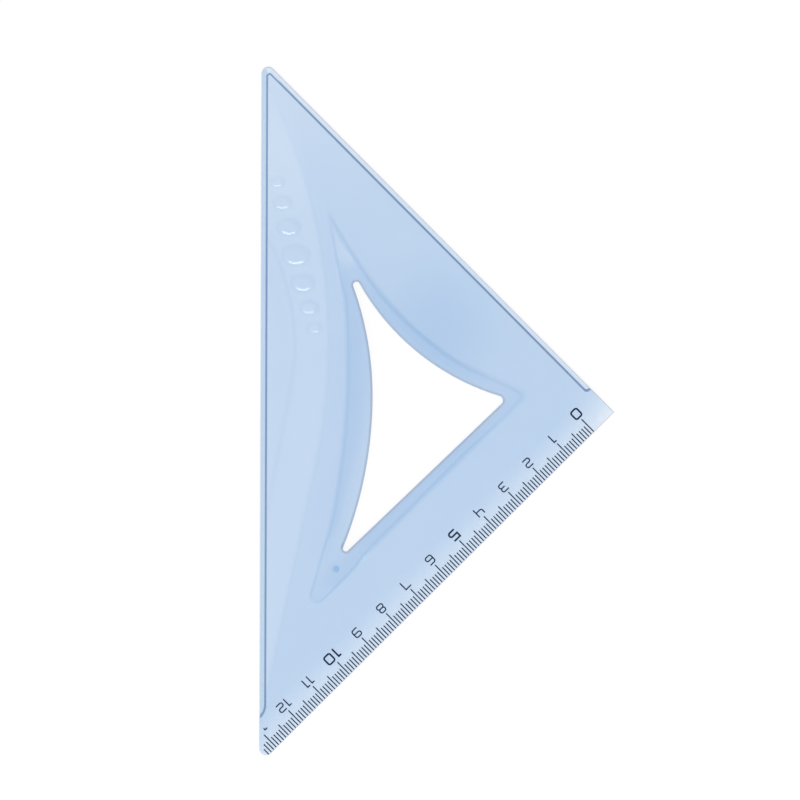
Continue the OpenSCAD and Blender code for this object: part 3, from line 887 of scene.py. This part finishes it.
# The print: dark navy ink on the slope, in thin strokes that stand a little proud of the plastic.
# It is laid on in one pass, so its cover is a little uneven.
navy_ink = bpy.data.materials.new("navy_ink")
navy_ink.use_nodes = True
tree = navy_ink.node_tree
ink = tree.nodes["Principled BSDF"]
ink.inputs["Roughness"].default_value = 0.55
ink.inputs["Specular IOR Level"].default_value = 0.1
place = tree.nodes.new("ShaderNodeTexCoord")
cover = tree.nodes.new("ShaderNodeTexNoise")
cover.inputs["Scale"].default_value = 900.0
cover.inputs["Detail"].default_value = 3.0
shade = tree.nodes.new("ShaderNodeMix")
shade.data_type = "RGBA"
shade.inputs["A"].default_value = (0.002, 0.01, 0.036, 1.0)
shade.inputs["B"].default_value = (0.006, 0.022, 0.062, 1.0)
tree.links.new(place.outputs["Object"], cover.inputs["Vector"])
tree.links.new(cover.outputs["Fac"], shade.inputs["Factor"])
tree.links.new(shade.outputs["Result"], ink.inputs["Base Color"])
for name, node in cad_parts.items():
    if name != "triangle_plate":
        node.data.materials.clear()
        node.data.materials.append(navy_ink)


# The studio: a white table top, a pale even sky and soft lamps.
# The table shows white to the eye and through the plastic, and still takes part of the triangle's shadow.
table_reach = 3.0
table_drop = 0.3 * MM
glow_to_eye = 0.9
table_mesh = bpy.data.meshes.new("table_top")
table = bmesh.new()
bmesh.ops.create_grid(table, x_segments=1, y_segments=1, size=table_reach)
bmesh.ops.translate(table, verts=table.verts, vec=(0.0, 0.0, -table_drop))
table.to_mesh(table_mesh)
table.free()
table_top = bpy.data.objects.new("table_top", table_mesh)
scene.collection.objects.link(table_top)

white_table = bpy.data.materials.new("white_table")
white_table.use_nodes = True
tree = white_table.node_tree
tree.nodes.remove(tree.nodes["Principled BSDF"])
matt = tree.nodes.new("ShaderNodeBsdfDiffuse")
matt.inputs["Color"].default_value = (0.98, 0.98, 0.98, 1.0)
glow = tree.nodes.new("ShaderNodeEmission")
ray = tree.nodes.new("ShaderNodeLightPath")
seen_through = tree.nodes.new("ShaderNodeMath")
seen_through.operation = "MAXIMUM"
straight = tree.nodes.new("ShaderNodeMath")
straight.operation = "MULTIPLY"
straight.inputs[1].default_value = glow_to_eye
share = tree.nodes.new("ShaderNodeMath")
share.operation = "MAXIMUM"
mix = tree.nodes.new("ShaderNodeMixShader")
tree.links.new(ray.outputs["Is Transmission Ray"], seen_through.inputs[0])
tree.links.new(ray.outputs["Is Glossy Ray"], seen_through.inputs[1])
tree.links.new(ray.outputs["Is Camera Ray"], straight.inputs[0])
tree.links.new(seen_through.outputs[0], share.inputs[0])
tree.links.new(straight.outputs[0], share.inputs[1])
tree.links.new(share.outputs[0], mix.inputs["Fac"])
tree.links.new(matt.outputs[0], mix.inputs[1])
tree.links.new(glow.outputs[0], mix.inputs[2])
tree.links.new(mix.outputs[0], tree.nodes["Material Output"].inputs["Surface"])
table_mesh.materials.append(white_table)

# The sky is darker toward the right and the far side, so slopes that face that way look deeper
world = bpy.data.worlds.new("pale_sky")
scene.world = world
world.use_nodes = True
tree = world.node_tree
sky = tree.nodes["Background"]
sky.inputs["Color"].default_value = (1.0, 1.0, 1.0, 1.0)
way = tree.nodes.new("ShaderNodeTexCoord")
facing = tree.nodes.new("ShaderNodeVectorMath")
facing.operation = "DOT_PRODUCT"
facing.inputs[1].default_value = (-0.87, -0.5, 0.0)
level = tree.nodes.new("ShaderNodeMapRange")
level.inputs["From Min"].default_value = -0.6
level.inputs["From Max"].default_value = 0.0
level.inputs["To Min"].default_value = 0.7
level.inputs["To Max"].default_value = 1.0
tree.links.new(way.outputs["Generated"], facing.inputs[0])
tree.links.new(facing.outputs["Value"], level.inputs["Value"])
tree.links.new(level.outputs["Result"], sky.inputs["Strength"])


def toward(azimuth, from_zenith):
    """Direction of a lamp, by its compass angle from +X and its angle from straight up."""
    azimuth = math.radians(azimuth)
    from_zenith = math.radians(from_zenith)
    flat = math.sin(from_zenith)
    return Vector((flat * math.cos(azimuth), flat * math.sin(azimuth), math.cos(from_zenith)))


def lamp(name, kind, power, target, azimuth, from_zenith, distance):
    """Put a lamp at a distance from its target, facing it, and give its data."""
    data = bpy.data.lights.new(name, kind)
    data.energy = power
    direction = toward(azimuth, from_zenith)
    holder = bpy.data.objects.new(name, data)
    holder.location = target + direction * distance
    holder.rotation_euler = direction.to_track_quat("Z", "Y").to_euler()
    scene.collection.objects.link(holder)
    return data


window = lamp("window_light", "SUN", power=0.8, target=Vector(), azimuth=205.0, from_zenith=62.0,
              distance=1.0)
window.angle = math.radians(30.0)
nub_row_middle = Vector((long_x + nub_row_gap, nub_row_y, plate_thickness)) * MM
softbox = lamp("near_softbox", "AREA", power=7.0, target=nub_row_middle, azimuth=270.0, from_zenith=30.0,
               distance=1.5)
softbox.shape = "RECTANGLE"
softbox.size = 1.0
softbox.size_y = 0.38

scene.view_settings.view_transform = "Standard"
